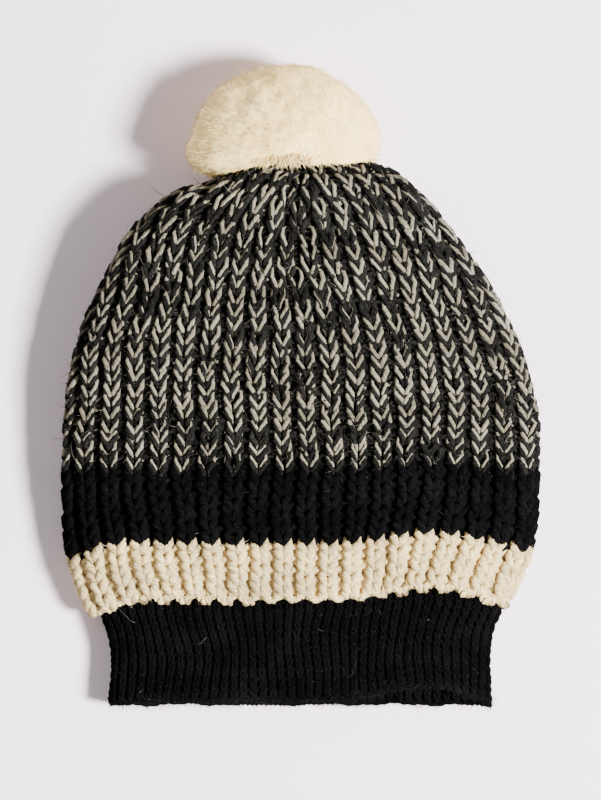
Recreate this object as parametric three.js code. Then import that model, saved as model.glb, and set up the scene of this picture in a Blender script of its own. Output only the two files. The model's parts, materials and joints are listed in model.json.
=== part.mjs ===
// Knitted beanie with a pom-pom, lying flat on its back.
// Millimetres. +Y runs from the mouth to the pom-pom, +Z is up and out of the hat's front.
// The origin is under the middle of the hat, on the surface it lies on.
import * as THREE from 'three';

// ---- Driving dimensions -------------------------------------------------

const MOUTH_Y = -160; // the hem, at the open end
const CUFF_LENGTH = 54; // fine rib, from the hem to the cream band
const CREAM_LENGTH = 26;
const BLACK_LENGTH = 38;
const MARL_LENGTH = 188; // over the crown to the gathered hole in its middle

const CUFF_WALL = 5;
const BAND_WALL = 7.5;
const GAP = 0.3; // air between neighbours that touch
const RING_GAP = 0.6; // the same between two knitted rings, whose edges aren't quite level
const ROUNDNESS = 2.4; // exponent of the flattened cross-section, 2 is an ellipse

const SEAM_RADIUS = 1.1;
const SEAM_GAP = 1.3; // the seams clear the facets of the wall they run along
const DART_START = 218; // where the four crown darts begin, measured from the hem
const DART_END = 286;
const GATHER_RING_RADIUS = 9;
const GATHER_YARN_RADIUS = 1.2;

const PIVOT = new THREE.Vector3(-6, 105, 33); // where the pom-pom's tie bends
const TIE_RADIUS = 1.6;
const TIE_LENGTH = 12.5;
const KNOT_RADIUS = 5;
const BINDING_RADIUS = 7.4;
const BINDING_LENGTH = 11;

const TUFT_RADIUS = 46.5;
const TUFT_HALF_DEPTH = 32.5; // it is pressed flat between the hand and the table
const TUFT_TOP_Y = 160;
const TUFT_RIM_Y = 124;
const TUFT_UNDERSIDE_Y = 111.6;
const TUFT_CAVITY_RADIUS = 8;

const LABEL = { width: 30, height: 22, thickness: 0.7, left: 2.6, centreY: -136 };

const AROUND = 40; // facets round each knitted ring
const STATION = 9; // length of one facet along the hat
const SLOPE_REACH = 0.5; // the surface's slope is taken this far to each side

// ---- Materials ------------------------------------------------------------

function yarn(colour) {
  return new THREE.MeshStandardMaterial({ color: colour, roughness: 0.95, metalness: 0 });
}

const MARL = yarn(0x6b665d);
const BLACK = yarn(0x15151a);
const CREAM = yarn(0xe9dfc4);
const POMPOM = yarn(0xefe6d2);
const LABEL_CLOTH = yarn(0xdcdcd8);

// ---- The flattened outline ------------------------------------------------
// Each row is [distance from the hem, y, half width, half depth, centre x, centre z].

const CUFF_OUTLINE = [
  [0, MOUTH_Y, 95, 13.8, 0, 13],
  [24, -136, 95.8, 14.8, -0.8, 14],
  [CUFF_LENGTH, -106, 101, 17, -0.3, 16.2],
];

const BODY_OUTLINE = [
  [CUFF_LENGTH, -106, 107.5, 18.6, -0.5, 17.8],
  [83, -77, 117.5, 20.8, -0.2, 20],
  [117, -43, 119.4, 23.4, 0, 22.6],
  [147, -13, 118.2, 25.8, -0.2, 25],
  [183, 23, 109.8, 28.8, -2, 28.2],
  [207, 47, 99.4, 30.6, -3, 30.8],
  [231, 71, 86.5, 31.6, -3.8, 33],
  [249, 88, 72.5, 30, -4, 34.6],
  [262, 99.5, 57.5, 26.5, -2.5, 35.2],
  [272, 105.4, 44, 21.5, -0.5, 35],
  [283, 108.6, 29.5, 15.5, 0, 34.4],
  [294, 108.8, 16, 10, -3, 33.6],
  [306, 107.6, 4.6, 4.6, PIVOT.x, PIVOT.z],
];

function outline(rows) {
  const positions = rows.map((row) => row[0]);
  const values = rows.flatMap((row) => row.slice(1));
  return new THREE.CubicInterpolant(positions, values, 5, new Float32Array(5));
}

const CUFF = outline(CUFF_OUTLINE);
const BODY = outline(BODY_OUTLINE);

// The section at one distance from the hem, moved inwards along the surface normal by `inset`.
function section(profile, distance, inset) {
  const [y0, a0] = profile.evaluate(distance - SLOPE_REACH);
  const [y1, a1] = profile.evaluate(distance + SLOPE_REACH);
  const slope = Math.atan2(a0 - a1, y1 - y0);
  const [y, halfWidth, halfDepth, x, z] = profile.evaluate(distance);
  const sideways = inset * Math.cos(slope);
  return {
    y: y - inset * Math.sin(slope),
    halfWidth: halfWidth - sideways,
    halfDepth: halfDepth - sideways,
    x,
    z,
  };
}

// The front layer rides up at one side of the mouth, so its bands and hem lie further up there.
const LIFT = { x: 66, width: 27, hem: 10, level: 4, reach: 200 };

function frontLift(x, frontness, distance) {
  const fade = Math.max(0, 1 - distance / LIFT.reach);
  const bump = LIFT.hem * Math.exp(-(((x - LIFT.x) / LIFT.width) ** 2));
  const level = LIFT.level * Math.max(0, 1 - distance / CUFF_LENGTH);
  return frontness * (bump * fade + level);
}

function pointOn(profile, distance, angle, inset = 0) {
  const cut = section(profile, distance, inset);
  const power = 2 / ROUNDNESS;
  const across = Math.sign(Math.cos(angle)) * Math.abs(Math.cos(angle)) ** power;
  const up = Math.sign(Math.sin(angle)) * Math.abs(Math.sin(angle)) ** power;
  const x = cut.x + cut.halfWidth * across;
  const z = Math.max(0, cut.z + cut.halfDepth * up);
  const lift = frontLift(x, Math.max(0, up), distance);
  return new THREE.Vector3(x, cut.y + lift, z + 0.5 * lift);
}

// ---- Solids -----------------------------------------------------------------

// Rings of points, each joined to the next and the last back to the first, make one closed skin.
function closedLoft(rings) {
  const count = rings[0].length;
  const index = [];
  rings.forEach((_, ring) => {
    const next = (ring + 1) % rings.length;
    for (let i = 0; i < count; i++) {
      const j = (i + 1) % count;
      const [a, b] = [ring * count + i, ring * count + j];
      const [c, d] = [next * count + i, next * count + j];
      index.push(a, c, b, b, c, d);
    }
  });
  const geometry = new THREE.BufferGeometry().setFromPoints(rings.flat());
  geometry.setIndex(index);
  geometry.computeVertexNormals();
  return geometry;
}

function knittedRing(profile, start, end, wall) {
  const steps = Math.max(2, Math.round((end - start) / STATION));
  const ringAt = (step, inset) => {
    const distance = THREE.MathUtils.lerp(start, end, step / steps);
    return Array.from({ length: AROUND }, (_, i) =>
      pointOn(profile, distance, (2 * Math.PI * i) / AROUND, inset));
  };
  const outer = Array.from({ length: steps + 1 }, (_, step) => ringAt(step, 0));
  const inner = Array.from({ length: steps + 1 }, (_, step) => ringAt(steps - step, wall));
  return closedLoft([...outer, ...inner]);
}

function roundSection(radius, sides = 8) {
  const points = Array.from({ length: sides }, (_, i) => {
    const angle = (2 * Math.PI * i) / sides;
    return new THREE.Vector2(radius * Math.cos(angle), radius * Math.sin(angle));
  });
  return new THREE.Shape(points);
}

function cordAlong(points, radius, steps) {
  const path = new THREE.CatmullRomCurve3(points);
  return new THREE.ExtrudeGeometry(roundSection(radius), { steps, extrudePath: path });
}

// A seam lies just inside the wall, along one line from `start` to `end`.
function seam(stretches, angle, steps) {
  const points = stretches.flatMap(([profile, start, end, wall]) => {
    const inset = wall + SEAM_GAP + SEAM_RADIUS;
    const count = Math.max(2, Math.round((end - start) / 12));
    return Array.from({ length: count }, (_, i) =>
      pointOn(profile, THREE.MathUtils.lerp(start, end, i / (count - 1)), angle, inset));
  });
  return cordAlong(points, SEAM_RADIUS, steps);
}

const FRONT = Math.PI / 2;
const BACK = -Math.PI / 2;
const RIGHT = 0;
const LEFT = Math.PI;

const creamStart = CUFF_LENGTH;
const blackStart = creamStart + CREAM_LENGTH;
const marlStart = blackStart + BLACK_LENGTH;
const marlEnd = marlStart + MARL_LENGTH;

function backSeam() {
  const cuffPart = [CUFF, 3, CUFF_LENGTH - 12, CUFF_WALL];
  const bodyPart = [BODY, CUFF_LENGTH + 6, DART_END, BAND_WALL];
  return seam([cuffPart, bodyPart], BACK, 56);
}

function dartSeam(angle) {
  return seam([[BODY, DART_START, DART_END, BAND_WALL]], angle, 18);
}

// A turned shape about the pom-pom's tie, which runs along +Y through the pivot.
function turned(profile, sides) {
  const points = profile.map(([radius, y]) => new THREE.Vector2(radius, y));
  return new THREE.LatheGeometry(points, sides);
}

function tuft() {
  const dome = 9;
  const rim = 4;
  const undersideEdge = TUFT_RADIUS - 4;
  const undersideRimY = TUFT_RIM_Y - 3;
  const profile = [
    [0, TUFT_UNDERSIDE_Y + 20.5],
    [TUFT_CAVITY_RADIUS, TUFT_UNDERSIDE_Y + 20.5],
    [TUFT_CAVITY_RADIUS, TUFT_UNDERSIDE_Y],
    [undersideEdge, undersideRimY],
  ];
  for (let i = 1; i < rim; i++) {
    const turn = (Math.PI / 2) * (i / rim);
    const radius = undersideEdge + 4 * Math.sin(turn);
    profile.push([radius, TUFT_RIM_Y - 3 * Math.cos(turn)]);
  }
  for (let i = 0; i <= dome; i++) {
    const turn = (Math.PI / 2) * (i / dome);
    const height = (TUFT_TOP_Y - TUFT_RIM_Y) * Math.sin(turn);
    profile.push([TUFT_RADIUS * Math.cos(turn), TUFT_RIM_Y + height]);
  }
  profile[profile.length - 1][0] = 0;
  return flattened(turned(profile, 32));
}

// Presses a turned shape down in Z, and leaves the round cavity in its middle alone.
function flattened(geometry) {
  const place = geometry.attributes.position;
  const squash = TUFT_HALF_DEPTH / TUFT_RADIUS;
  for (let i = 0; i < place.count; i++) {
    const radius = Math.hypot(place.getX(i), place.getZ(i));
    const blend = THREE.MathUtils.smoothstep(radius, TUFT_CAVITY_RADIUS, 2 * TUFT_CAVITY_RADIUS);
    place.setZ(i, place.getZ(i) * THREE.MathUtils.lerp(1, squash, blend));
  }
  return geometry;
}

// Yarn wound round and round the middle of the pom-pom's strands.
function binding() {
  const wraps = 4;
  const bottom = TUFT_UNDERSIDE_Y + 8.6;
  const profile = [[0, bottom]];
  for (let i = 0; i <= 4 * wraps; i++) {
    const bulge = Math.abs(Math.sin((Math.PI * i) / 4));
    const radius = BINDING_RADIUS - 1 + bulge;
    profile.push([radius, bottom + (BINDING_LENGTH * i) / (4 * wraps)]);
  }
  profile.push([0, bottom + BINDING_LENGTH]);
  return turned(profile, 20);
}

function tie() {
  const bottom = PIVOT.y + GAP;
  const profile = [
    [0, bottom],
    [TIE_RADIUS, bottom],
    [TIE_RADIUS, bottom + TIE_LENGTH],
    [0, bottom + TIE_LENGTH],
  ];
  return turned(profile, 12);
}

function knot() {
  const ball = new THREE.SphereGeometry(KNOT_RADIUS, 16, 10);
  ball.translate(0, PIVOT.y - KNOT_RADIUS - 0.5, 0);
  return ball;
}

function gatherYarn() {
  const ring = new THREE.TorusGeometry(GATHER_RING_RADIUS, GATHER_YARN_RADIUS, 8, 24);
  ring.rotateX(Math.PI / 2);
  ring.translate(0, PIVOT.y - 7.5, 0);
  return ring;
}

// ---- The label inside the cuff ----------------------------------------------

const labelDistance = LABEL.centreY - MOUTH_Y;
const labelBed = pointOn(CUFF, labelDistance, BACK, CUFF_WALL).z;
const labelZ = labelBed + 3 * GAP + LABEL.thickness / 2;

function labelCloth() {
  const cloth = new THREE.BoxGeometry(LABEL.width, LABEL.height, LABEL.thickness);
  cloth.translate(LABEL.left + LABEL.width / 2, LABEL.centreY, labelZ);
  return cloth;
}

function labelStitch(end) {
  const size = 0.9;
  const stitch = new THREE.BoxGeometry(4, size, size);
  const y = LABEL.centreY + end * (LABEL.height / 2 - 2);
  stitch.translate(LABEL.left + 3, y, labelZ + (LABEL.thickness + size) / 2 + GAP);
  return stitch;
}

// ---- Assembly -----------------------------------------------------------------

const beanie = new THREE.Group();

function add(name, geometry, material, parent = beanie) {
  const mesh = new THREE.Mesh(geometry, material);
  mesh.name = name;
  parent.add(mesh);
}

add('cuff_knit', knittedRing(CUFF, 0, creamStart - RING_GAP, CUFF_WALL), BLACK);
add('cream_band_knit', knittedRing(BODY, creamStart, blackStart - RING_GAP, BAND_WALL), CREAM);
add('black_band_knit', knittedRing(BODY, blackStart, marlStart - RING_GAP, BAND_WALL), BLACK);
add('crown_wall_knit', knittedRing(BODY, marlStart, DART_START - RING_GAP, BAND_WALL), MARL);
add('crown_top_knit', knittedRing(BODY, DART_START, marlEnd, BAND_WALL), MARL);

add('back_seam_yarn', backSeam(), BLACK);
add('front_dart_seam', dartSeam(FRONT), BLACK);
add('left_dart_seam', dartSeam(LEFT), BLACK);
add('right_dart_seam', dartSeam(RIGHT), BLACK);

add('care_label', labelCloth(), LABEL_CLOTH);
add('label_stitch_upper', labelStitch(1), BLACK);
add('label_stitch_lower', labelStitch(-1), BLACK);

const pompom = new THREE.Group();
pompom.position.set(PIVOT.x, 0, PIVOT.z);
beanie.add(pompom);

add('crown_gather_yarn', gatherYarn(), MARL, pompom);
add('tie_knot', knot(), CREAM, pompom);
add('pompom_tie', tie(), CREAM, pompom);
add('pompom_binding', binding(), CREAM, pompom);
add('pompom_tuft', tuft(), POMPOM, pompom);

export default beanie;
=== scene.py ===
"""Pom-pom beanie lying flat on its back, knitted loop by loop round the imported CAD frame.

Shapes are worked out in millimetres and turned into metres where a mesh is made.
Along the fabric, "distance" is measured from the hem; round it, "turn" goes from 0 to 1,
starting at the middle of the front and passing the right fold at a quarter.
"""
import json
import math

import bpy
import numpy as np
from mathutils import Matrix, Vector, noise


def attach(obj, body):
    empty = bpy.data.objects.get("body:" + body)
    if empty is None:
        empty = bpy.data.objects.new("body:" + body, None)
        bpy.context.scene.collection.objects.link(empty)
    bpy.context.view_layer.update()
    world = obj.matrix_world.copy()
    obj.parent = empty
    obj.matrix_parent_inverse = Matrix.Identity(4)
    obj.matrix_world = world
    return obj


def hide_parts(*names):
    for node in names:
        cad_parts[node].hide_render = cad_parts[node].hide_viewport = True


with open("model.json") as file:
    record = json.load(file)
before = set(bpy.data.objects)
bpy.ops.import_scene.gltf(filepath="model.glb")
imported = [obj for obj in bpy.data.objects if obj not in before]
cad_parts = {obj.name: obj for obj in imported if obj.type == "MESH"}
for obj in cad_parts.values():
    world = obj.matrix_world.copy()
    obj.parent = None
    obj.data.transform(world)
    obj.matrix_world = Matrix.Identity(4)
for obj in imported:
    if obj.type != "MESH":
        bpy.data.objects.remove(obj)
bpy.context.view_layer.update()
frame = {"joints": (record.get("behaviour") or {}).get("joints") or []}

MM = 0.001
TAU = 2 * math.pi
RNG = np.random.default_rng(7)

# ---- The flattened hat ----

PIVOT = np.array(frame["joints"][0]["pos_m"]) / MM  # the hole in the gathered crown

# Each row: distance from the hem, y, half width, half depth, centre x, centre z.
CUFF_OUTLINE = [
    (-4, -164, 98, 13.6, 0.4, 12.8),
    (0, -160, 97.8, 13.8, 0.45, 13),
    (8, -152, 97.2, 14.1, 0.4, 13.3),
    (24, -136, 96.3, 14.8, 0.65, 14),
    (38, -122, 98.6, 15.8, 0.3, 15.1),
    (46, -114, 101.8, 16.2, 0.5, 15.7),
    (54, -106, 102.8, 16.6, 0.2, 16.2),
    (64, -96, 104.5, 17.8, -0.2, 17.2),
]

BODY_OUTLINE = [
    (40, -106, 101, 13.5, -0.5, 15.5),
    (46, -108.4, 102.6, 15.0, -0.5, 16.5),
    (52, -107.6, 105.6, 17.4, -0.5, 17.3),
    (60, -100, 109.5, 19.2, -0.4, 18.4),
    (83, -77, 118, 20.8, 0.3, 20),
    (117, -43, 120, 23.4, 0.6, 22.6),
    (147, -13, 119.2, 25.8, 0.8, 25),
    (183, 23, 110.9, 28.8, -0.9, 28.2),
    (207, 47, 100.5, 30.6, -1.9, 30.8),
    (231, 71, 86.5, 31.6, -3.8, 33),
    (249, 88, 72.5, 30, -4, 34.6),
    (262, 99.5, 57.5, 26.5, -2.5, 35.2),
    (272, 106.2, 44, 21.5, 0, 35),
    (283, 110, 29.5, 15.5, 1, 34.4),
    (294, 110.4, 16, 10, -3, 33.6),
    (306, 108.6, 4.6, 4.6, PIVOT[0], PIVOT[2]),
    (312, 107.6, 3.2, 3.2, PIVOT[0], PIVOT[2]),
]

ROUNDNESS = 2.4  # exponent of the flattened cross-section
# The front layer rides up at its right: x and width place that, hem is its height there, and it dies
# away at reach. The whole front is up by level too, which dies away at cuff.
LIFT = {"x": 66, "width": 27, "hem": 10, "level": 4, "reach": 200, "cuff": 54}
DART_START = 205  # the four darts begin here
PETALS = 4  # the quarters of a course, between the darts


def smoothstep(low, high, value):
    """Runs from 0 at low to 1 at high, whichever of the two is larger."""
    t = np.clip((value - low) / (high - low), 0, 1)
    return t * t * (3 - 2 * t)


def hermite(rows):
    """A smooth curve through rows of (position, values...), as a function of position."""
    rows = np.array(rows, float)
    at, values = rows[:, 0], rows[:, 1:]
    slope = np.diff(values, axis=0) / np.diff(at)[:, None]
    tangent = np.vstack([slope[:1], (slope[:-1] + slope[1:]) / 2, slope[-1:]])

    def evaluate(position):
        place = np.clip(position, at[0], at[-1])
        i = np.clip(np.searchsorted(at, place, side="right") - 1, 0, len(at) - 2)
        span = (at[i + 1] - at[i])[:, None]
        t = (place - at[i])[:, None] / span
        start = (2 * t**3 - 3 * t**2 + 1) * values[i] + (t**3 - 2 * t**2 + t) * span * tangent[i]
        end = (3 * t**2 - 2 * t**3) * values[i + 1] + (t**3 - t**2) * span * tangent[i + 1]
        return start + end

    return evaluate


def crown_slope(x):
    """The crown's top edge dips at its left shoulder and stands a little higher on the right."""
    return 3.3 * smoothstep(-32, -20, x) * smoothstep(78, 58, x) - 3.2 * np.exp(-(((x + 44) / 8) ** 2))


class Fabric:
    """The middle surface of a knitted tube, as a grid along and round it."""

    ROUND = 720
    ALONG = 1.0

    def __init__(self, outline, half_wall):
        evaluate = hermite(outline)
        self.first = outline[0][0]
        self.distance = np.arange(self.first, outline[-1][0] + 0.1, self.ALONG)
        y, half_width, half_depth, x, z = evaluate(self.distance).T
        slope = np.arctan2(-np.gradient(half_width), np.gradient(y))
        y = y - half_wall * np.sin(slope)
        half_width = half_width - half_wall * np.cos(slope)
        half_depth = half_depth - half_wall * np.cos(slope)
        angle = math.pi / 2 - np.linspace(0, TAU, 2 * self.ROUND + 1)
        power = 2 / ROUNDNESS
        across = np.sign(np.cos(angle)) * np.abs(np.cos(angle)) ** power
        up = np.sign(np.sin(angle)) * np.abs(np.sin(angle)) ** power
        ring_x = half_width[:, None] * across
        ring_z = half_depth[:, None] * up
        step = np.hypot(np.diff(ring_x, axis=1), np.diff(ring_z, axis=1))
        length = np.hstack([np.zeros((len(step), 1)), np.cumsum(step, axis=1)])
        self.girth = length[:, -1]
        turn = np.linspace(0, 1, self.ROUND + 1)
        even_x = np.array([np.interp(turn, ln / ln[-1], rx) for ln, rx in zip(length, ring_x)])
        even_z = np.array([np.interp(turn, ln / ln[-1], rz) for ln, rz in zip(length, ring_z)])
        grid_x = x[:, None] + even_x
        grid_z = z[:, None] + even_z
        lift = self.lift(grid_x, np.clip(even_z / half_depth[:, None], 0, 1), self.distance[:, None])
        if outline is BODY_OUTLINE:
            lift = lift - self.droop(x[:, None], half_width[:, None], grid_x, self.distance[:, None])
        self.points = np.stack([grid_x, y[:, None] + lift, grid_z + 0.5 * lift], axis=-1)
        self.points[..., 1] += crown_slope(grid_x) * self.crown_share(self.distance)[:, None]
        along = np.gradient(self.points, axis=0)
        padded = np.concatenate([self.points[:, -2:-1], self.points, self.points[:, 1:2]], axis=1)
        around = (padded[:, 2:] - padded[:, :-2]) / 2
        normals = np.cross(around, along)
        self.normals = normals / np.linalg.norm(normals, axis=-1, keepdims=True)

    @staticmethod
    def crown_share(distance):
        """Where along the crown its uneven top edge shows: from its shoulders to the gathered middle."""
        return smoothstep(225, 262, distance) * smoothstep(302, 286, distance)

    @staticmethod
    def lift(x, frontness, distance):
        """How far the front layer rides up at one side of the mouth."""
        bump = LIFT["hem"] * np.exp(-(((x - LIFT["x"]) / LIFT["width"]) ** 2))
        fade = np.clip(1 - distance / LIFT["reach"], 0, 1)
        level = LIFT["level"] * np.clip(1 - distance / LIFT["cuff"], 0, 1)
        return frontness * (bump * fade + level)

    @staticmethod
    def droop(middle, half_width, x, distance):
        """How far the cream band sags over the narrower cuff at the two side folds."""
        from_left = x - (middle - half_width)
        from_right = middle + half_width - x
        folds = 8 * np.exp(-((from_left / 13) ** 2)) + 4 * np.exp(-((from_right / 13) ** 2))
        return folds * np.clip((121 - distance) / 37, 0, 1)

    def girth_at(self, distance):
        return np.interp(distance, self.distance, self.girth)

    def at(self, distance, turn):
        """Points and outward normals at distances along and turns round the fabric."""
        row = np.clip((distance - self.first) / self.ALONG, 0, len(self.distance) - 1.001)
        column = (turn % 1.0) * self.ROUND
        r, c = row.astype(int), column.astype(int)
        fr, fc = (row - r)[:, None], (column - c)[:, None]

        def mix(grid):
            low = grid[r, c] * (1 - fc) + grid[r, c + 1] * fc
            high = grid[r + 1, c] * (1 - fc) + grid[r + 1, c + 1] * fc
            return low * (1 - fr) + high * fr

        normal = mix(self.normals)
        return mix(self.points), normal / np.linalg.norm(normal, axis=1, keepdims=True)


BAND_HALF_WALL = 3.75
CUFF_HALF_WALL = 2.5
CUFF = Fabric(CUFF_OUTLINE, CUFF_HALF_WALL)
BODY = Fabric(BODY_OUTLINE, BAND_HALF_WALL)


# ---- Meshes ----

class Builder:
    """Collects tubes and makes one mesh of them, with the length along each in its UVs."""

    def __init__(self):
        self.points, self.quads, self.uvs, self.tones = [], [], [], []
        self.count = 0

    def tube(self, centre, side, out, radius, sides=6, closed=True, start=0.0, tone=0.5):
        """A tube along `centre`; side and out span its section and radius is its half width."""
        steps = len(centre)
        radius = np.broadcast_to(radius, (steps,))
        angle = np.arange(sides) * TAU / sides
        ring = side[:, None] * np.cos(angle)[None, :, None] + out[:, None] * np.sin(angle)[None, :, None]
        points = centre[:, None] + radius[:, None, None] * ring
        run = np.linalg.norm(np.diff(np.vstack([centre, centre[:1]]), axis=0), axis=1)
        along = start + np.concatenate([[0], np.cumsum(run)])
        last = steps if closed else steps - 1
        i = np.arange(last)[:, None]
        j = np.arange(sides)[None, :]
        after_i, after_j = (i + 1) % steps, (j + 1) % sides
        quads = np.stack(
            [i * sides + j, i * sides + after_j, after_i * sides + after_j, after_i * sides + j], axis=-1
        ).reshape(-1, 4)
        u0 = np.broadcast_to(along[:last, None], (last, sides))
        u1 = np.broadcast_to(along[1 : last + 1, None], (last, sides))
        v0 = np.broadcast_to(j / sides, (last, sides))
        v1 = v0 + 1 / sides
        uvs = np.stack([u0, v0, u0, v1, u1, v1, u1, v0], axis=-1).reshape(-1, 2)
        self.add(points.reshape(-1, 3), quads, uvs, tone)
        if not closed:
            self.cap(points[0][::-1])
            self.cap(points[-1])

    def cap(self, ring):
        """Closes the end of a tube with a low point over its rim."""
        sides = len(ring)
        middle = ring.mean(axis=0, keepdims=True)
        points = np.vstack([ring, middle])
        j = np.arange(sides)
        quads = np.stack([j, (j + 1) % sides, np.full(sides, sides), np.full(sides, -1)], axis=-1)
        self.add(points, quads, np.zeros((sides * 4, 2)), 0.5)

    def add(self, points, quads, uvs, tone):
        self.points.append(points)
        self.quads.append(np.where(quads >= 0, quads + self.count, -1))
        self.uvs.append(uvs.reshape(-1, 4, 2))
        self.tones.append(np.broadcast_to(tone, (len(points),)))
        self.count += len(points)

    def make(self, name, material, smooth=True):
        """A Blender object in metres. Quads whose last corner is -1 are triangles."""
        points = np.concatenate(self.points) * MM
        quads = np.concatenate(self.quads)
        uvs = np.concatenate(self.uvs)
        tones = np.concatenate(self.tones)
        real = quads >= 0
        corners = real.sum(axis=1)
        mesh = bpy.data.meshes.new(name)
        mesh.vertices.add(len(points))
        mesh.vertices.foreach_set("co", points.astype(np.float32).ravel())
        mesh.loops.add(int(corners.sum()))
        mesh.loops.foreach_set("vertex_index", quads[real].astype(np.int32))
        mesh.polygons.add(len(quads))
        starts = np.concatenate([[0], np.cumsum(corners)[:-1]])
        mesh.polygons.foreach_set("loop_start", starts.astype(np.int32))
        mesh.polygons.foreach_set("use_smooth", np.full(len(quads), smooth))
        layer = mesh.uv_layers.new(name="yarn")
        layer.data.foreach_set("uv", uvs[real].astype(np.float32).ravel())
        tint = mesh.attributes.new("tone", "FLOAT", "POINT")
        tint.data.foreach_set("value", tones.astype(np.float32))
        mesh.update(calc_edges=True)
        mesh.validate()
        mesh.materials.append(material)
        obj = bpy.data.objects.new(name, mesh)
        bpy.context.scene.collection.objects.link(obj)
        return obj


def unit(vectors):
    return vectors / np.maximum(np.linalg.norm(vectors, axis=-1, keepdims=True), 1e-9)


def frames_along(centre, normal, closed=True):
    """Side and outward directions across a line that runs over a surface with that normal."""
    if closed:
        tangent = unit(np.roll(centre, -1, axis=0) - np.roll(centre, 1, axis=0))
    else:
        tangent = unit(np.gradient(centre, axis=0))
    side = unit(np.cross(normal, tangent))
    return side, np.cross(tangent, side)


def wander(count, samples, strength, rng, columns=1):
    """One random value per stitch, blended smoothly from each to the next round a closed course."""
    knots = rng.normal(0, strength, (count, columns))
    place = np.arange(count * samples) / samples
    i = place.astype(int)
    t = (place - i)[:, None]
    t = t * t * (3 - 2 * t)
    return knots[i] * (1 - t) + knots[(i + 1) % count] * t


# ---- Knitting ----

BODY_RIBS = 10  # ribs in each quarter of the crown
CUFF_RIBS = 21  # and in each quarter of the cuff

# swing and bulge bend a loop sideways and height lengthens it; rise, depth and lean lift it off the fabric.
# grip widens the knit columns, and sink lowers the purl ones between them.
MARL_GAUGE = {
    "ribs": BODY_RIBS, "swing": 0.185, "bulge": 0.055, "height": 0.92, "grip": 0.05,
    "rise": 1.2, "depth": 1.5, "lean": 0.3, "sink": 1.6, "dart": True,
}
BAND_GAUGE = {
    "ribs": BODY_RIBS, "swing": 0.16, "bulge": 0.04, "height": 0.84, "grip": 0.11,
    "rise": 1.15, "depth": 1.2, "lean": 0.3, "sink": 1.2, "dart": False,
}
CUFF_GAUGE = {
    "ribs": CUFF_RIBS, "swing": 0.16, "bulge": 0.03, "height": 0.75, "grip": 0.0,
    "rise": 0.55, "depth": 0.45, "lean": 0.2, "sink": 0.2, "dart": False,
}
FOLD = 0.35  # how gently a rib turns from knit to purl


def stitches_in_petal(fabric, gauge, distance):
    """Stitches across one quarter of a course, and the width of one of them."""
    girth = float(fabric.girth_at(distance))
    full = 2 * gauge["ribs"]
    width = girth / (PETALS * full)
    if gauge["dart"] and distance > DART_START:
        widest = float(fabric.girth_at(DART_START)) / (PETALS * full)
        narrowing = 1 - 0.05 * smoothstep(DART_START, 290, distance)
        width = widest * narrowing
        half = max(1, round(girth / (2 * PETALS * width)))
        return 2 * min(half, gauge["ribs"]), width
    return full, width


class Course:
    """One closed row of loops. Several strands can follow it, each a little up or down the fabric."""

    def __init__(self, fabric, gauge, distance, pitch, samples, rng, jitter, tuck=0.0):
        stitches, width = stitches_in_petal(fabric, gauge, distance)
        count = PETALS * stitches
        place = np.arange(count * samples) / samples
        petal = np.floor(place / stitches)
        local = place - petal * stitches - stitches / 2
        theta = TAU * (local - 0.5)
        shake = wander(count, samples, 1.0, rng, 4)
        fullness = 1 + 0.12 * wander(count, samples, 1.0, rng)[:, 0]

        loop = gauge["swing"] * np.sin(2 * theta) + gauge["bulge"] * np.sin(theta)
        q = local + (2 * width * loop * fullness + jitter * shake[:, 0]) / width
        q = q + gauge["grip"] / math.pi * np.sin(math.pi * (q - 0.5))
        along = distance + gauge["height"] * pitch * np.cos(theta) + jitter * shake[:, 1]
        along = along + 0.8 * np.sin(TAU * 3 * place / count + distance * 0.37)

        knit = np.cos(theta / 2)
        knit = knit / np.sqrt(knit**2 + FOLD**2) * math.sqrt(1 + FOLD**2)
        out = knit * (gauge["rise"] - gauge["depth"] * np.cos(2 * theta) - gauge["lean"] * np.cos(theta))
        inward = (1 - knit) / 2
        head = tuck * np.maximum(0, np.cos(theta)) ** 2
        out = out - gauge["sink"] * inward - head
        along = along - head * (0.4 + inward)
        self.fabric, self.gauge, self.distance, self.samples = fabric, gauge, distance, samples
        self.stitches, self.width, self.count, self.petal = stitches, width, count, petal
        self.q, self.along, self.knit, self.theta = q, along, knit, theta
        self.out = out + 0.6 * jitter * shake[:, 2]

    def line(self, shift=0.0, lift=0.0, dart_depth=0.0):
        """The centre line of a strand and the fabric's normals along it, drawn in at the darts."""
        fabric, distance, q, width = self.fabric, self.distance, self.q, self.width
        along = self.along + shift
        girth = fabric.girth_at(along)
        edge = float(fabric.girth_at(distance)) / (2 * PETALS)
        stretch = edge / (width * self.stitches / 2) - 1
        reach = 2 * q / self.stitches
        offset = width * q * (1 + stretch * reach**2) + (girth / (2 * PETALS) - edge) * reach**3
        turn = (self.petal + 0.5) / PETALS + offset / girth
        out = self.out + lift
        if self.gauge["dart"]:
            to_dart = girth / (2 * PETALS) - np.abs(offset)
            deep = smoothstep(DART_START - 15, DART_START + 25, distance)
            out = out - dart_depth * np.exp(-((to_dart / 3.8) ** 2)) * deep
        sway = 0.7 * np.sin(TAU * (distance / 61 + 2 * turn) + 1.3)
        sway = sway + 0.5 * np.sin(TAU * (distance / 37 - 5 * turn))
        points, normals = fabric.at(along, turn + sway / girth)
        return points + out[:, None] * normals, normals


def rest_on_table(points, radius):
    """Lifts yarn that would sink into the table, and lets it flatten softly there."""
    floor = radius + 0.05
    z = points[:, 2]
    points[:, 2] = np.where(z < floor + 2, floor + 2 * np.exp(np.minimum(0, z - floor - 2) / 2), z)
    return points


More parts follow.
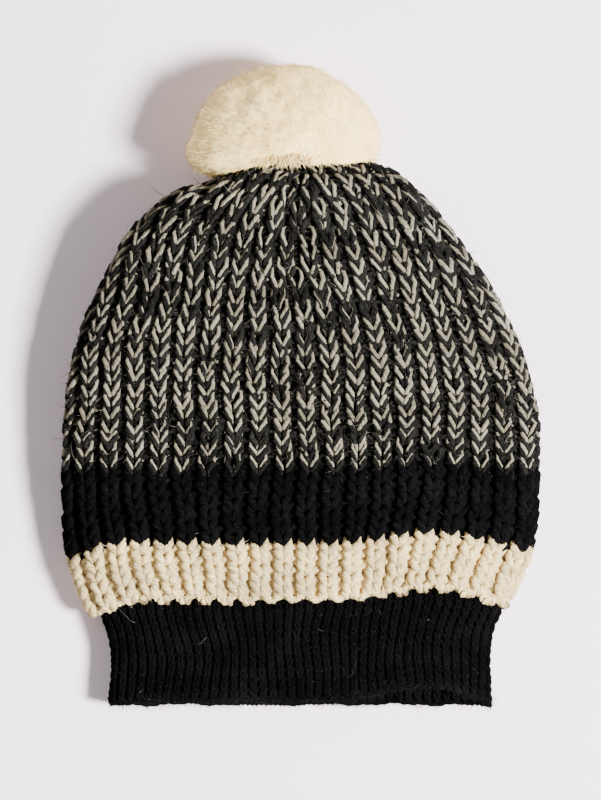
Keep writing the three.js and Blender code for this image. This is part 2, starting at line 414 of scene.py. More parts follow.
class Fuzz:
    """Places on the yarn that loose fibres grow from."""

    def __init__(self):
        self.roots, self.out, self.along = [], [], []

    def gather(self, centre, side, out, radius, share, rng):
        """Remembers a share of the samples of one yarn, each at a random spot round it."""
        count = int(len(centre) * share)
        pick = rng.choice(len(centre), count, replace=False)
        angle = rng.uniform(0, math.pi, count)[:, None]
        around = np.cos(angle) * side[pick] + np.sin(angle) * out[pick]
        self.roots.append(centre[pick] + 0.8 * np.broadcast_to(radius, len(centre))[pick, None] * around)
        self.out.append(around)
        self.along.append(unit(np.roll(centre, -1, axis=0) - centre)[pick])

    def choose(self, count, rng):
        roots, out, along = (np.concatenate(part) for part in (self.roots, self.out, self.along))
        pick = rng.choice(len(roots), min(count, len(roots)), replace=False)
        return roots[pick], out[pick], along[pick]


def needles(builder, lines, radius, tone, ramp=0.0):
    """Many thin tapering fibres at once; lines is (fibre, step, xyz) and radius is (fibre, step).

    Each has three sides and a pointed end. ramp paints shade on its root and light on its tip.
    """
    fibres, steps = lines.shape[:2]
    start = unit(lines[:, 1] - lines[:, 0])
    across = unit(np.cross(start, np.roll(start, 1, axis=1) + 0.31))
    other = np.cross(start, across)
    angle = np.arange(3) * TAU / 3
    ring = np.cos(angle)[:, None] * across[:, None] + np.sin(angle)[:, None] * other[:, None]
    body = lines[:, :-1, None] + radius[:, :-1, None, None] * ring[:, None]
    per = 3 * (steps - 1) + 1
    points = np.concatenate([body.reshape(fibres, -1, 3), lines[:, -1:]], axis=1)
    j = np.arange(3)
    after = (j + 1) % 3
    quads = [np.array([[0, 2, 1, -1]])]
    for first in range(0, 3 * (steps - 2), 3):
        quads.append(np.stack([first + j, first + after, first + 3 + after, first + 3 + j], axis=1))
    last = 3 * (steps - 2)
    quads.append(np.stack([last + j, last + after, np.full(3, per - 1), np.full(3, -1)], axis=1))
    one = np.concatenate(quads)
    shift = (np.arange(fibres) * per)[:, None, None]
    every = np.where(one >= 0, one + shift, -1).reshape(-1, 4)
    uvs = np.zeros((len(every) * 4, 2))
    uvs[:, 0] = np.repeat(np.arange(fibres), len(one) * 4) * 1.7
    # ramp paints shade at the root, darker than the tone, and light at the tip, paler than it
    rise = np.append(np.repeat(np.linspace(-ramp, ramp, steps)[:-1], 3), ramp)
    builder.add(points.reshape(-1, 3), every, uvs, np.clip(tone[:, None] + rise, 0, 1).ravel())


HAIR_SWEEP = 0.8  # how far a loose fibre leans along its yarn as it leaves it
HAIR_CEILING = 72  # no hair of the knitting stands higher off the table than this


def hairs(fuzz, count, length, thickness, curl, rng, steps=4):
    """Loose fibres that leave the yarn, sweep along it and curl."""
    roots, out, along = fuzz.choose(count, rng)
    count = len(roots)
    sweep = HAIR_SWEEP * rng.choice([-1, 1], (count, 1)) * along
    heading = unit(out + sweep + rng.normal(0, 0.45, (count, 3)))
    turn = rng.normal(0, curl, (count, 3))
    reach = rng.gamma(3.0, length / 3.0, count)[:, None] / (steps - 1)
    points = [roots]
    for _ in range(steps - 1):
        points.append(points[-1] + reach * heading)
        heading = unit(heading + turn * 0.5 - 0.12 * out)
        turn = turn + rng.normal(0, curl * 0.4, (count, 3))
    lines = np.stack(points, axis=1)
    lines[..., 2] = np.clip(lines[..., 2], 0.15, HAIR_CEILING)
    taper = np.linspace(1, 0.35, steps)
    radius = thickness * rng.uniform(0.6, 1.3, (count, 1)) * taper
    builder = Builder()
    needles(builder, lines, radius, rng.uniform(0, 1, count))
    return builder


def knit_single(builder, fuzz, course, radius, sides, rng):
    """One course of a single yarn."""
    centre, normals = course.line()
    centre = rest_on_table(centre, radius)
    side, out = frames_along(centre, normals)
    thick = radius * (1 + 0.06 * wander(course.count, course.samples, 1.0, rng)[:, 0])
    thick = thick * (0.9 + 0.12 * np.sin(course.theta) ** 2)
    builder.tube(centre, side, out, thick, sides, start=97.0 * course.distance, tone=rng.uniform(0.35, 0.65))
    fuzz.gather(centre, side, out, thick, 0.3, rng)


DART_DEPTH = {"light": 3.6, "dark": 2.0}  # how far each strand is drawn in at a dart
HEAD_TUCK = 0.9  # how far the head of a light loop slips under the next one


def knit_pair(builders, fuzz, course, strand, sides, rng):
    """One course of a light and a dark strand held together: the dark loop nests below the light one."""
    back = smoothstep(0.3, -0.6, course.knit)
    slow = wander(course.count // 4, 4 * course.samples, strand["twist"], rng)[:, 0]
    angle = slow + wander(course.count, course.samples, strand["quiver"], rng)[:, 0]
    swap = 1 - np.cos(angle)
    for builder, colour, sign in zip(builders, ("light", "dark"), (1, -1)):
        lift = sign * (strand["over"] * (1 - back) - strand["hide"] * back - strand["over"] * 1.6 * swap)
        if colour == "light":
            lift = lift - HEAD_TUCK * np.maximum(0, np.cos(course.theta)) ** 2
        shift = sign * strand["shift"] / 2 * np.cos(angle)
        centre, normals = course.line(shift, lift, DART_DEPTH[colour])
        radius = strand[colour]
        centre = rest_on_table(centre, radius)
        side, out = frames_along(centre, normals)
        centre = centre + sign * 0.3 * np.sin(angle)[:, None] * side
        thick = radius * (1 + 0.16 * wander(course.count, course.samples, 1.0, rng)[:, 0]).clip(0.6, 1.3)
        thick = thick * (0.8 + 0.24 * np.sin(course.theta) ** 2)
        tone = rng.uniform(0.3, 0.7)
        builder.tube(centre, side, out, thick, sides, start=97.0 * course.distance, tone=tone)
        fuzz.gather(centre, side, out, thick, 0.25, rng)


# ---- Materials ----

def node(tree, kind, **values):
    made = tree.nodes.new(kind)
    for key, value in values.items():
        if key in made.inputs:
            made.inputs[key].default_value = value
        else:
            setattr(made, key, value)
    return made


def maths(tree, operation, *values):
    """The output of a maths node whose inputs are numbers or other nodes' outputs."""
    made = node(tree, "ShaderNodeMath", operation=operation)
    for socket, value in zip(made.inputs, values):
        if isinstance(value, float):
            socket.default_value = value
        else:
            tree.links.new(value, socket)
    return made.outputs[0]


def noise_pattern(tree, vector, scale, detail, roughness):
    made = node(tree, "ShaderNodeTexNoise", Scale=scale, Detail=detail, Roughness=roughness)
    tree.links.new(vector, made.inputs["Vector"])
    return made.outputs["Fac"]


def new_material(name):
    material = bpy.data.materials.new(name)
    material.use_nodes = True
    return material, material.node_tree, material.node_tree.nodes["Principled BSDF"]


def colour_ramp(tree, factor, stops):
    ramp = node(tree, "ShaderNodeValToRGB")
    elements = ramp.color_ramp.elements
    while len(elements) < len(stops):
        elements.new(0.5)
    for element, (place, colour) in zip(elements, stops):
        element.position = place
        element.color = (*colour, 1)
    tree.links.new(factor, ramp.inputs["Fac"])
    return ramp.outputs["Color"]


PLIES = 3
WINDING = 0.14  # turns of the plies for each millimetre of yarn


def wool(name, shade, light, deep, sheen, fibre_bump=0.5, specks=None, shine=0.15):
    """Spun wool: fibre streaks that wind along the yarn, uneven dye, and a soft sheen.

    shade, light and deep are its middle, palest and darkest colours; specks are stray fibres of another one.
    """
    material, tree, shader = new_material(name)
    link = tree.links.new
    uv = node(tree, "ShaderNodeUVMap", uv_map="yarn")
    split = node(tree, "ShaderNodeSeparateXYZ")
    link(uv.outputs["UV"], split.inputs["Vector"])
    along = split.outputs["X"]
    wound = maths(tree, "MULTIPLY_ADD", along, WINDING, split.outputs["Y"])
    joined = node(tree, "ShaderNodeCombineXYZ")
    link(along, joined.inputs["X"])
    link(wound, joined.inputs["Y"])
    stretched = node(tree, "ShaderNodeVectorMath", operation="MULTIPLY")
    stretched.inputs[1].default_value = (0.35, 9.0, 1.0)
    link(joined.outputs[0], stretched.inputs[0])
    streaks = noise_pattern(tree, stretched.outputs[0], 1.0, 4.0, 0.7)

    place = node(tree, "ShaderNodeTexCoord").outputs["Object"]
    blotches = noise_pattern(tree, place, 55.0, 3.0, 0.6)
    # tone differs at random; on the pile it also holds painted shade at roots and light at tips
    tone = node(tree, "ShaderNodeAttribute", attribute_name="tone").outputs["Fac"]
    dye = maths(tree, "MULTIPLY_ADD", streaks, 0.62, maths(tree, "MULTIPLY", blotches, 0.28))
    dye = maths(tree, "MULTIPLY_ADD", tone, 0.18, dye)
    colour = colour_ramp(tree, dye, [(0.38, deep), (0.52, shade), (0.66, light)])
    if specks:
        blend = node(tree, "ShaderNodeMix", data_type="RGBA")
        flecks = noise_pattern(tree, place, 900.0, 2.0, 0.5)
        link(maths(tree, "GREATER_THAN", flecks, 0.66), blend.inputs["Factor"])
        link(colour, blend.inputs[6])
        blend.inputs[7].default_value = (*specks, 1)
        colour = blend.outputs[2]
    link(colour, shader.inputs["Base Color"])

    plies = maths(tree, "SINE", maths(tree, "MULTIPLY", wound, TAU * PLIES))
    bump = node(tree, "ShaderNodeBump", Strength=fibre_bump, Distance=0.0006)
    link(maths(tree, "MULTIPLY_ADD", plies, 0.22, streaks), bump.inputs["Height"])
    link(bump.outputs["Normal"], shader.inputs["Normal"])
    shader.inputs["Roughness"].default_value = 0.92
    shader.inputs["Specular IOR Level"].default_value = shine
    shader.inputs["Sheen Weight"].default_value = sheen
    shader.inputs["Sheen Roughness"].default_value = 0.55
    shader.inputs["Sheen Tint"].default_value = (1, 1, 1, 1)
    return material


BLACK_WOOL = wool("black_wool", (0.0017, 0.0017, 0.0018), (0.0055, 0.0055, 0.0057), (0.001, 0.001, 0.0011),
                  sheen=0.002, shine=0.0, specks=(0.006, 0.006, 0.0065))
CUFF_WOOL = wool("cuff_wool", (0.0017, 0.0017, 0.0018), (0.0042, 0.0042, 0.0043), (0.001, 0.001, 0.0011),
                 sheen=0.002, shine=0.0, specks=(0.007, 0.007, 0.0072))
MARL_DARK = wool("marl_dark", (0.0062, 0.0061, 0.0056), (0.017, 0.0166, 0.0155), (0.0032, 0.0032, 0.0030),
                 sheen=0.003, shine=0.0, specks=(0.03, 0.029, 0.027))
MARL_LIGHT = wool("marl_light", (0.145, 0.13, 0.094), (0.285, 0.26, 0.2), (0.045, 0.04, 0.029), sheen=0.02,
                  shine=0.02)
POM_WOOL = wool("pom_wool", (0.94, 0.70, 0.27), (0.98, 0.80, 0.42), (0.72, 0.54, 0.27), sheen=0.05,
                fibre_bump=0.1)
HAIR_DARK = wool("hair_dark", (0.009, 0.009, 0.0085), (0.022, 0.0215, 0.02), (0.004, 0.004, 0.004),
                 sheen=0.01, shine=0.0)
HAIR_GREY = wool("hair_grey", (0.014, 0.014, 0.014), (0.05, 0.048, 0.044), (0.005, 0.005, 0.005),
                 sheen=0.01, shine=0.0)
HAIR_LIGHT = wool("hair_light", (0.15, 0.143, 0.12), (0.30, 0.285, 0.245), (0.07, 0.066, 0.056), sheen=0.03,
                  shine=0.02)
HAIR_CREAM = wool("hair_cream", (0.7, 0.56, 0.34), (0.9, 0.75, 0.5), (0.42, 0.32, 0.18), sheen=0.05)
SEAM_THREAD = wool("seam_thread", (0.012, 0.012, 0.013), (0.03, 0.03, 0.03), (0.006, 0.006, 0.006), sheen=0.1)
TIE_YARN = wool("tie_yarn", (0.78, 0.71, 0.54), (0.88, 0.83, 0.69), (0.62, 0.53, 0.37), sheen=0.3)
LABEL_CLOTH = wool("label_cloth", (0.78, 0.77, 0.74), (0.86, 0.85, 0.83), (0.68, 0.67, 0.64), sheen=0.1)
CREAM_WOOL = wool("cream_wool", (0.48, 0.37, 0.19), (0.93, 0.72, 0.35), (0.19, 0.155, 0.10), sheen=0.03,
                  fibre_bump=0.9, shine=0.02)


# ---- The knitted sections ----

SAMPLES = 10
# light and dark are the strands' radii, and shift is how far apart they run. over and hide say how far
# the light one stands above the dark one on a knit stitch and sinks below it on a purl one.
# twist and quiver turn the pair.
MARL = {"light": 1.12, "dark": 1.3, "shift": 3.1, "over": 0.3, "hide": 1.2, "twist": 0.75, "quiver": 0.5,
        "jitter": 0.42}
TOP_MARL = {"light": 1.04, "dark": 1.36, "twist": 0.95, "jitter": 0.6}  # looser and darker near the top
FIRST_MARL = {"light": 0.8, "dark": 1.4, "over": 0.0, "twist": 1.0}  # the lowest rows show more black
BAND_SIDES = 7
MARL_SIDES = 5
CREAM_START, CREAM_ROWS, CREAM_PITCH, CREAM_RADIUS = 53.1, 6, 5.3, 2.2
CREAM_TUCK = 2.4  # the last cream row slips under the first black one
BLACK_START, BLACK_ROWS, BLACK_PITCH, BLACK_RADIUS = 84.9, 6, 6.1, 2.15
MARL_START, MARL_END = 121.4, 304.5
CROWN_SPLIT = 215  # the crown's wall ends here and its shaped top begins
CUFF_START, CUFF_ROWS, CUFF_PITCH, CUFF_RADIUS = 2.6, 14, 3.9, 1.16
CUFF_SAMPLES, CUFF_SIDES = 8, 5
HEM_STEPS, HEM_RADIUS, HEM_SIDES = 700, 1.3, 6


def marl_courses():
    """Distances, pitches and yarn of the marl courses, whose stitches grow longer towards the crown."""
    distance = MARL_START
    while distance < MARL_END:
        grow = float(smoothstep(MARL_START, 250, distance))
        pitch = 6.1 + 1.2 * grow - 2.0 * float(smoothstep(285, 305, distance))
        settle = min(1.0, (distance - MARL_START) / 24)
        strand = dict(MARL)
        for key, first in FIRST_MARL.items():
            strand[key] = first + (MARL[key] - first) * settle
        for key, top in TOP_MARL.items():
            strand[key] += (top - strand[key]) * float(smoothstep(170, 245, distance))
        yield distance, pitch, strand
        distance += pitch


def knit_bands(fuzz):
    """The cream band and the black band above it."""
    cream, black = Builder(), Builder()
    for row in range(CREAM_ROWS):
        tuck = CREAM_TUCK if row == CREAM_ROWS - 1 else 0.0
        distance = CREAM_START + row * CREAM_PITCH
        loops = Course(BODY, BAND_GAUGE, distance, CREAM_PITCH, SAMPLES, RNG, 0.2, tuck)
        knit_single(cream, fuzz["cream"], loops, CREAM_RADIUS, BAND_SIDES, RNG)
    for row in range(BLACK_ROWS):
        distance = BLACK_START + row * BLACK_PITCH
        loops = Course(BODY, BAND_GAUGE, distance, BLACK_PITCH, SAMPLES, RNG, 0.25)
        knit_single(black, fuzz["black"], loops, BLACK_RADIUS, BAND_SIDES, RNG)
    return [
        (cream.make("cream_band", CREAM_WOOL), "cream_yarn", "cream_band_knit"),
        (black.make("black_band", BLACK_WOOL), "black_yarn", "black_band_knit"),
    ]


def knit_crown(fuzz):
    """The marl crown: its wall, then its shaped top, each in a light and a dark strand."""
    courses = list(marl_courses())
    wall = [row for row in courses if row[0] < CROWN_SPLIT]
    top = [row for row in courses if row[0] >= CROWN_SPLIT]
    made = []
    for part, rows in (("wall", wall), ("top", top)):
        light, dark = Builder(), Builder()
        for distance, pitch, strand in rows:
            loops = Course(BODY, MARL_GAUGE, distance, pitch, SAMPLES, RNG, strand["jitter"])
            knit_pair((light, dark), fuzz[part], loops, strand, MARL_SIDES, RNG)
        node_name = f"crown_{part}_knit"
        made.append((light.make(f"marl_light_{part}", MARL_LIGHT), "marl_yarn", node_name))
        made.append((dark.make(f"marl_dark_{part}", MARL_DARK), "marl_yarn", node_name))
    return made


def knit_cuff(fuzz):
    """The fine-rib cuff, and the cast-on edge that runs round its hem."""
    cuff = Builder()
    for row in range(CUFF_ROWS):
        distance = CUFF_START + row * CUFF_PITCH
        loops = Course(CUFF, CUFF_GAUGE, distance, CUFF_PITCH, CUFF_SAMPLES, RNG, 0.1)
        knit_single(cuff, fuzz["cuff"], loops, CUFF_RADIUS, CUFF_SIDES, RNG)
    turn = np.arange(HEM_STEPS) / HEM_STEPS
    ripple = np.sin(TAU * turn * CUFF_RIBS * PETALS)
    roll = 0.5 * np.sin(TAU * 11 * turn + 0.6) + 0.35 * np.sin(TAU * 27 * turn)
    centre, normals = CUFF.at(0.2 + 0.3 * ripple + roll, turn)
    centre = rest_on_table(centre + 0.25 * ripple[:, None] * normals, HEM_RADIUS)
    side, out = frames_along(centre, normals)
    cuff.tube(centre, side, out, HEM_RADIUS + 0.12 * ripple, HEM_SIDES)
    for _ in range(5):  # the edge is the fuzziest place
        fuzz["hem"].gather(centre, side, out, HEM_RADIUS, 0.9, RNG)
    return [(cuff.make("rib_cuff", CUFF_WOOL), "cuff_yarn", "cuff_knit")]


def loose_fibres(fuzz):
    """Fine hairs over the knitting: name, yarn, count, length, thickness, curl, then how each is shown."""
    rng = np.random.default_rng(31)
    made = []
    for name, source, count, length, thickness, curl, material, finish, cad in (
        ("hair_hem", "hem", 3000, 3.4, 0.1, 0.9, HAIR_DARK, "cuff_yarn", "cuff_knit"),
        ("hair_dark_wall", "wall", 4000, 4.0, 0.13, 0.5, HAIR_DARK, "marl_yarn", "crown_wall_knit"),
        ("hair_light_wall", "wall", 4200, 3.6, 0.07, 0.5, HAIR_LIGHT, "marl_yarn", "crown_wall_knit"),
        ("hair_dark_top", "top", 2200, 4.0, 0.13, 0.5, HAIR_DARK, "marl_yarn", "crown_top_knit"),
        ("hair_light_top", "top", 2400, 3.6, 0.07, 0.5, HAIR_LIGHT, "marl_yarn", "crown_top_knit"),
        ("hair_black", "black", 3000, 3.2, 0.07, 0.5, HAIR_GREY, "black_yarn", "black_band_knit"),
        ("hair_cream", "cream", 3600, 2.6, 0.07, 0.5, HAIR_CREAM, "cream_yarn", "cream_band_knit"),
        ("hair_cream_dark", "cream", 500, 3.4, 0.05, 0.5, HAIR_GREY, "cream_yarn", "cream_band_knit"),
        ("hair_cuff", "cuff", 2600, 2.4, 0.06, 0.5, HAIR_GREY, "cuff_yarn", "cuff_knit"),
    ):
        fibres = hairs(fuzz[source], count, length, thickness, curl, rng)
        made.append((fibres.make(name, material), finish, cad))
    curly = hairs(fuzz["cuff"], 26, 11.0, 0.075, 0.75, rng, steps=16)
    made.append((curly.make("hair_curly", HAIR_LIGHT), "cuff_yarn", "cuff_knit"))
    return made


# ---- The pom-pom ----

POM = {"radii": (48.5, 42.0, 32.0), "low": 15.5, "pile": 3.6}  # low is its radius towards the crown
POM_CENTRE = np.array((-7.0, 119.0, 33.0))
# The crown under it: distance from its middle, y.
CROWN_TOP = [(0, 109.5), (16, 110.2), (29.5, 109.6), (44, 106), (57.5, 99.5), (72.5, 88)]


def from_crown_middle(points):
    """How far out over the gathered crown points are, in a measure that is the same all round its oval."""
    return np.hypot(points[..., 0], 2.05 * (points[..., 2] - 34.5))


def wobble(points, size, seed):
    """Smooth noise between -1 and 1 at points, with features of about the given size."""
    return np.array([noise.noise(Vector(p / size) + Vector((seed, 0, 0))) for p in points])


def pom_surface(directions):
    """Points of the pile's outline in the given directions from its centre."""
    radii = np.broadcast_to(np.array(POM["radii"]), directions.shape).copy()
    radii[directions[:, 1] < 0, 1] = POM["low"]
    fullness = 2 + 0.8 * smoothstep(0.0, -0.25, directions[:, 1])
    reach = np.sum(np.abs(directions / radii) ** fullness[:, None], axis=1) ** (-1 / fullness)
    points = directions * reach[:, None]
    lumps = 1.5 * wobble(points, 19, 3.7) + 1.2 * wobble(points, 8, 9.1) + 0.5 * wobble(points, 4, 6.3)
    flank = smoothstep(0.45, 0.95, -directions[:, 0]) * smoothstep(0.3, -0.3, directions[:, 1])
    lumps = lumps + 4.5 * flank
    points = POM_CENTRE + directions * (reach + lumps - 0.6)[:, None]
    across = from_crown_middle(points)
    crown = np.interp(across, *np.array(CROWN_TOP).T) + crown_slope(points[:, 0]) * smoothstep(8, 18, across)
    points[:, 1] = np.maximum(points[:, 1], crown + 1.6)
    points[:, 2] = np.maximum(points[:, 2], 0.4)
    return points


def spiral_directions(count):
    """Directions spread evenly over a ball."""
    i = np.arange(count) + 0.5
    height = 1 - 2 * i / count
    angle = i * math.pi * (3 - math.sqrt(5))
    level = np.sqrt(1 - height**2)
    return np.stack([level * np.cos(angle), height, level * np.sin(angle)], axis=1)


def pom_core():
    """The matted body of the pom-pom, under the loose ends of its pile."""
    around, levels = 168, 96
    polar = (np.arange(levels - 1) + 1) * math.pi / levels
    angle = np.arange(around) * TAU / around
    rings = np.stack([
        np.sin(polar)[:, None] * np.cos(angle), np.repeat(np.cos(polar)[:, None], around, axis=1),
        np.sin(polar)[:, None] * np.sin(angle)], axis=-1)
    directions = np.vstack([rings.reshape(-1, 3), [[0, 1, 0], [0, -1, 0]]])
    surface = pom_surface(directions)
    tufts = 0.55 * np.abs(wobble(surface, 3.4, 1.9)) + 0.35 * wobble(surface, 1.8, 5.3)
    points = surface + unit(POM_CENTRE - surface) * (POM["pile"] * 0.22 + 0.8 * tufts)[:, None]
    i = np.arange(levels - 2)[:, None]
    j = np.arange(around)[None, :]
    after = (j + 1) % around
    quads = np.stack([i * around + j, i * around + after, (i + 1) * around + after, (i + 1) * around + j], -1)
    top, bottom, last = len(directions) - 2, len(directions) - 1, (levels - 2) * around
    flat, nxt = j[0], after[0]
    caps = [
        np.stack([flat, np.full(around, top), nxt, np.full(around, -1)], axis=1),
        np.stack([last + flat, last + nxt, np.full(around, bottom), np.full(around, -1)], axis=1),
    ]
    faces = np.vstack([quads.reshape(-1, 4), *caps])
    builder = Builder()
    builder.add(points, faces, np.zeros((len(faces) * 4, 2)), 0.5)
    return builder.make("pompom_core", POM_WOOL)


def pom_pile(count):
    """The ends of the pile: fine locks that gather into small clumps."""
    rng = np.random.default_rng(11)
    directions = unit(spiral_directions(count) + rng.normal(0, 0.012, (count, 3)))
    surface = pom_surface(directions)
    outward = unit(surface - POM_CENTRE)
    clumps = unit(rng.normal(0, 1, (1500, 3)))
    nearest = np.empty(count, int)
    for low in range(0, count, 2000):
        nearest[low : low + 2000] = np.argmax(directions[low : low + 2000] @ clumps.T, axis=1)
    pull = (clumps[nearest] - directions) * np.array(POM["radii"])
    base = surface - outward * POM["pile"]
    length = POM["pile"] * rng.uniform(0.85, 1.15, count)[:, None]
    lean = 0.35 * pull + rng.normal(0, 0.6, (count, 3))
    steps = np.array([0, 0.55, 1])[None, :, None]
    lines = base[:, None] + outward[:, None] * length[:, None] * steps + lean[:, None] * steps**1.6
    lines[..., 2] = np.maximum(lines[..., 2], 0.3)
    radius = rng.uniform(0.16, 0.25, (count, 1)) * np.array([1, 0.9, 0.3])
    builder = Builder()
    tone = 0.5 + 0.3 * wobble(surface, 6, 2.2) + rng.normal(0, 0.12, count)
    # ramp=0.5 paints shade at the pile's roots among the fibres and light at its tips
    needles(builder, lines, radius, tone, ramp=0.5)
    return builder.make("pompom_pile", POM_WOOL)


HALO_STEPS = np.array([0, 0.35, 0.7, 1])[None, :, None]


def pom_halo(count, curls):
    """Stray ends that soften the edge of the pile, and some that fall forward over the crown's edge."""
    rng = np.random.default_rng(17)
    directions = unit(rng.normal(0, 1, (count, 3)))
    surface = pom_surface(directions)
    outward = unit(surface - POM_CENTRE)
    reach = outward[:, None] * rng.gamma(4.0, 0.65, count)[:, None, None] * HALO_STEPS
    bend = rng.normal(0, 1.0, (count, 3))[:, None] * HALO_STEPS**2
    lines = (surface - outward)[:, None] + reach + bend
    rest = np.interp(from_crown_middle(lines), *np.array(CROWN_TOP).T) + 0.8
    lines[..., 1] = np.maximum(lines[..., 1], rest)
    lines[..., 2] = np.maximum(lines[..., 2], 0.3)
    radius = rng.uniform(0.05, 0.09, (count, 1)) * np.array([1, 0.9, 0.7, 0.3])
    builder = Builder()
    needles(builder, lines, radius, rng.uniform(0.3, 0.8, count))
    fall_forward(builder, curls, rng)
    return builder.make("pompom_halo", POM_WOOL)


def fall_forward(builder, curls, rng):
    """Short curls of pile that hang over the front edge of the crown, in the middle."""
    roots = rng.normal((-5, 113, 60), (4.5, 0.8, 0.8), (curls, 3))
    fall = rng.normal((0, -5, 2.2), (1.8, 1.2, 0.6), (curls, 3))
    bow = rng.normal((0, 0, 1.6), 0.5, (curls, 3))
    lines = roots[:, None] + fall[:, None] * HALO_STEPS + bow[:, None] * np.sin(math.pi * HALO_STEPS)
    radius = rng.uniform(0.16, 0.24, (curls, 1)) * np.array([1, 1, 0.8, 0.3])
    needles(builder, lines, radius, rng.uniform(0.7, 1.0, curls))


# ---- Seams, ties and the label ----

def twine(builder, path, radius, twist=4.0, closed=False):
    """Two strands twisted round each other along a path, a full turn every `twist` millimetres."""
    path = np.asarray(path, float)
    reference = np.array([0.13, 0.31, 0.94])
    side, out = frames_along(path, np.broadcast_to(reference, path.shape), closed)
    run = np.concatenate([[0], np.cumsum(np.linalg.norm(np.diff(path, axis=0), axis=1))])
    turns = max(1, round(run[-1] / twist))
    angle = TAU * turns * run / (run[-1] * (1 + (1 / len(path) if closed else 0)))
    for phase in (0, math.pi):
        a = (angle + phase)[:, None]
        centre = path + 0.46 * radius * (np.cos(a) * side + np.sin(a) * out)
        builder.tube(centre, side, out, 0.54 * radius, closed=closed)


def even(path, step, closed=False):
    """The same path with points a fixed step apart."""
    path = np.asarray(path, float)
    if closed:
        path = np.vstack([path, path[:1]])
    run = np.concatenate([[0], np.cumsum(np.linalg.norm(np.diff(path, axis=0), axis=1))])
    at = np.linspace(0, run[-1], max(4, round(run[-1] / step)) + 1)
    out = np.stack([np.interp(at, run, path[:, k]) for k in range(3)], axis=1)
    return out[:-1] if closed else out


def inner_seam(fabric, inward, start, end, turn, swing):
    """A sewn line inside the fabric: small stitches that step from one edge to the other."""
    along = np.arange(start, end, 0.5)
    points, normals = fabric.at(along, np.full(len(along), turn))
    around = unit(np.cross(np.gradient(points, axis=0), normals))
    stitch = along / 5.5 * TAU
    points = points - normals * (inward + 0.35 * np.cos(2 * stitch))[:, None]
    return even(points + around * (swing * np.sin(stitch))[:, None], 0.6)


def seams():
    """The back seam, the three dart seams that aren't part of it, and the yarn that gathers the crown."""
    made = []
    back = Builder()
    twine(back, inner_seam(CUFF, 4.6, 4, 45, 0.5, 1.1), 1.05)
    twine(back, inner_seam(BODY, 6.3, 61, 284, 0.5, 1.3), 1.05)
    made.append((back.make("back_seam", SEAM_THREAD), "seam_thread", "back_seam_yarn"))
    for name, turn in (("front_dart_seam", 0.0), ("right_dart_seam", 0.25), ("left_dart_seam", 0.75)):
        dart = Builder()
        twine(dart, inner_seam(BODY, 7.2, 222, 282, turn, 1.0), 1.0)
        made.append((dart.make(f"{name}_yarn", SEAM_THREAD), "seam_thread", name))
    gather = Builder()
    angle = np.linspace(0, TAU, 90, endpoint=False)
    weave = 97.5 + 0.5 * np.sin(9 * angle)
    ring = np.stack([PIVOT[0] + 9 * np.cos(angle), weave, PIVOT[2] + 9 * np.sin(angle)], axis=1)
    twine(gather, even(ring, 0.6, True), 1.15, closed=True)
    made.append((gather.make("crown_gather", SEAM_THREAD), "seam_thread", "crown_gather_yarn"))
    return made


def knot():
    """The ends of the tie, knotted inside the crown."""
    t = np.linspace(0, TAU, 160, endpoint=False)
    x, z = np.sin(t) + 2 * np.sin(2 * t), np.cos(t) - 2 * np.cos(2 * t)
    path = np.stack([x, 1.15 * np.sin(3 * t), z], axis=1) * 1.12
    builder = Builder()
    twine(builder, even(path, 0.5, True) + np.array([PIVOT[0], 99.5, PIVOT[2]]), 1.45, closed=True)
    return [(builder.make("knot", TIE_YARN), "tie_yarn", "tie_knot")]


def tie():
    """The doubled yarn that the pom-pom hangs on."""
    builder = Builder()
    y = np.arange(104.6, 119.5, 0.4)
    for phase in (0, math.pi):
        angle = y * 0.55 + phase
        path = np.stack([PIVOT[0] + 0.75 * np.cos(angle), y, PIVOT[2] + 0.75 * np.sin(angle)], axis=1)
        twine(builder, path, 0.8)
    return [(builder.make("tie", TIE_YARN), "tie_yarn", "pompom_tie")]


def binding():
    """Yarn wound round the middle of the pile."""
    t = np.linspace(0, 1, 420)
    angle = TAU * 6.5 * t
    out = 6.0 + 0.25 * np.sin(angle * 3.1)
    x, z = PIVOT[0] + out * np.cos(angle), PIVOT[2] + out * np.sin(angle)
    path = np.stack([x, 121.6 + 8.2 * t, z], axis=1)
    builder = Builder()
    twine(builder, even(path, 0.6), 1.2)
    return [(builder.make("binding", TIE_YARN), "tie_yarn", "pompom_binding")]


LABEL = {"x": (2.6, 32.6), "y": (-147.0, -125.0), "thick": 0.6}


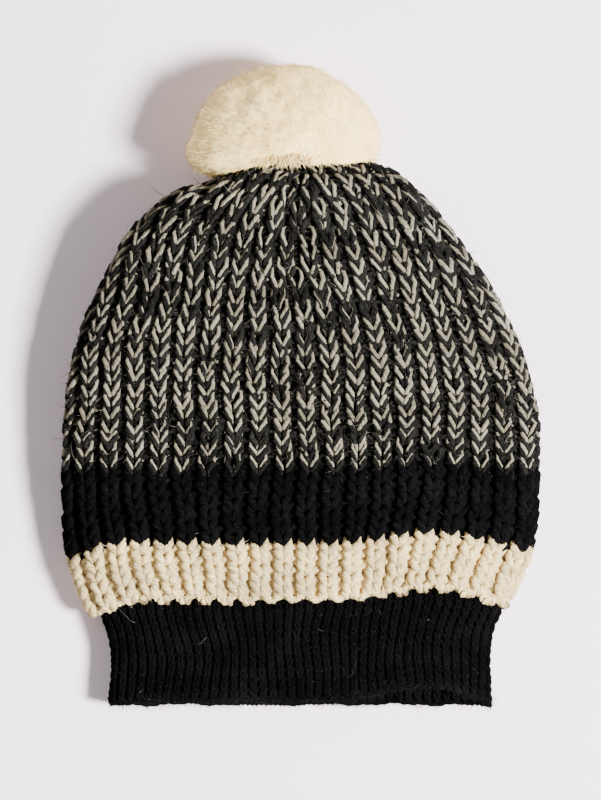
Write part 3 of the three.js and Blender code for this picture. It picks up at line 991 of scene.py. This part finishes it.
def label():
    """The blank label on the inside of the cuff's back layer, with a bar tack at two corners."""
    across, up = 61, 45
    x = np.linspace(*LABEL["x"], across)
    y = np.linspace(*LABEL["y"], up)
    grid_x, grid_y = (g.ravel() for g in np.meshgrid(x, y, indexing="ij"))
    z = np.full_like(grid_x, 5.45) + 0.22 * np.sin(grid_x * 0.31) + 0.16 * np.sin(grid_y * 0.4 + 1)
    half = LABEL["thick"] / 2
    top = np.stack([grid_x, grid_y, z + half], axis=1)
    bottom = np.stack([grid_x, grid_y, z - half], axis=1)
    i, j = (g.ravel() for g in np.meshgrid(np.arange(across - 1), np.arange(up - 1), indexing="ij"))
    a, b, c, d = i * up + j, (i + 1) * up + j, (i + 1) * up + j + 1, i * up + j + 1
    under = across * up
    rim = np.concatenate([
        np.arange(across) * up, (across - 1) * up + np.arange(1, up),
        np.arange(across - 2, -1, -1) * up + up - 1, np.arange(up - 2, 0, -1)])
    nxt = np.roll(rim, -1)
    faces = np.vstack([
        np.stack([a, b, c, d], 1), np.stack([a, d, c, b], 1) + under,
        np.stack([rim, rim + under, nxt + under, nxt], 1)])
    corners = np.vstack([top, bottom])[faces.ravel()]
    builder = Builder()
    builder.add(np.vstack([top, bottom]), faces, corners[:, :2], 0.5)
    cloth = builder.make("label", LABEL_CLOTH, smooth=False)
    made = [(cloth, "label_cloth", "care_label")]
    for name, y in (("label_stitch_upper", -127.0), ("label_stitch_lower", -145.0)):
        t = np.linspace(0, 1, 60)
        zigzag = y + 0.55 * np.sin(t * TAU * 4)
        path = np.stack([3.6 + 4 * t, zigzag, 6.15 + 0.2 * np.cos(t * TAU * 8)], axis=1)
        tack = Builder()
        twine(tack, even(path, 0.2), 0.3, twist=0.9)
        made.append((tack.make(f"{name}_thread", SEAM_THREAD), "seam_thread", name))
    return made


# ---- Stage ----

def make_stage():
    floor_mesh = bpy.data.meshes.new("floor")
    reach = 3.0
    floor_mesh.from_pydata(
        [(-reach, -reach, 0), (reach, -reach, 0), (reach, reach, 0), (-reach, reach, 0)], [], [(0, 1, 2, 3)])
    floor = bpy.data.objects.new("floor", floor_mesh)
    bpy.context.scene.collection.objects.link(floor)
    material, _, shader = new_material("floor_paint")
    shader.inputs["Base Color"].default_value = (0.98, 0.87, 0.99, 1)
    shader.inputs["Roughness"].default_value = 0.9
    shader.inputs["Specular IOR Level"].default_value = 0.1
    floor_mesh.materials.append(material)


def aim(obj, target):
    direction = np.array(target) - np.array(obj.location)
    yaw = math.atan2(direction[1], direction[0])
    pitch = math.atan2(math.hypot(direction[0], direction[1]), -direction[2])
    obj.rotation_euler = (pitch, 0, yaw - math.pi / 2)


def area_light(name, azimuth, elevation, distance, size, energy, colour):
    lamp = bpy.data.lights.new(name, "AREA")
    lamp.shape = "SQUARE"
    lamp.size = size
    lamp.energy = energy
    lamp.color = colour
    obj = bpy.data.objects.new(name, lamp)
    a, e = math.radians(azimuth), math.radians(elevation)
    obj.location = (distance * math.cos(a) * math.cos(e), distance * math.sin(a) * math.cos(e),
                    distance * math.sin(e))
    bpy.context.scene.collection.objects.link(obj)
    aim(obj, (0, 0, 0.03))


def make_lights():
    area_light("key", -14, 51, 2.4, 0.5, 285, (1.0, 0.985, 0.96))
    area_light("fill", 150, 62, 2.4, 2.0, 15, (1.0, 0.97, 0.95))
    world = bpy.data.worlds.new("studio")
    bpy.context.scene.world = world
    world.use_nodes = True
    background = world.node_tree.nodes["Background"]
    background.inputs["Color"].default_value = (1.0, 0.94, 0.84, 1)
    background.inputs["Strength"].default_value = 0.35


VIEW_LENGTH = 400  # how much of the table, from top to bottom, the picture takes in
CAMERA_HEIGHT = 1600  # above the middle of the hat's thickness


def make_camera():
    """Straight above, with the crown at the top of the picture."""
    camera = bpy.data.cameras.new("camera")
    camera.type = "PERSP"
    camera.sensor_width = 36
    camera.lens = camera.sensor_width * CAMERA_HEIGHT / VIEW_LENGTH
    obj = bpy.data.objects.new("camera", camera)
    obj.location = (0.5 * MM, -6.75 * MM, (CAMERA_HEIGHT + 25) * MM)
    bpy.context.scene.collection.objects.link(obj)
    bpy.context.scene.camera = obj


def place(pieces, body="hat"):
    """Each piece rides on its body and stands for its CAD nodes."""
    for piece, finish, *nodes in pieces:
        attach(piece, body)
        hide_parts(*nodes)


make_camera()
make_lights()
make_stage()
FUZZ = {name: Fuzz() for name in ("hem", "cuff", "cream", "black", "wall", "top")}
place(knit_cuff(FUZZ))
place(knit_bands(FUZZ))
place(knit_crown(FUZZ))
place(loose_fibres(FUZZ))
place(seams())
place(label())
place(knot(), "knot")
place(tie(), "tie")
place(binding(), "pompom")
CORE = pom_core()
PILE = [CORE, pom_pile(count=19500), pom_halo(count=3600, curls=300)]
place([(piece, "pompom_pile", "pompom_tuft") for piece in PILE], "pompom")
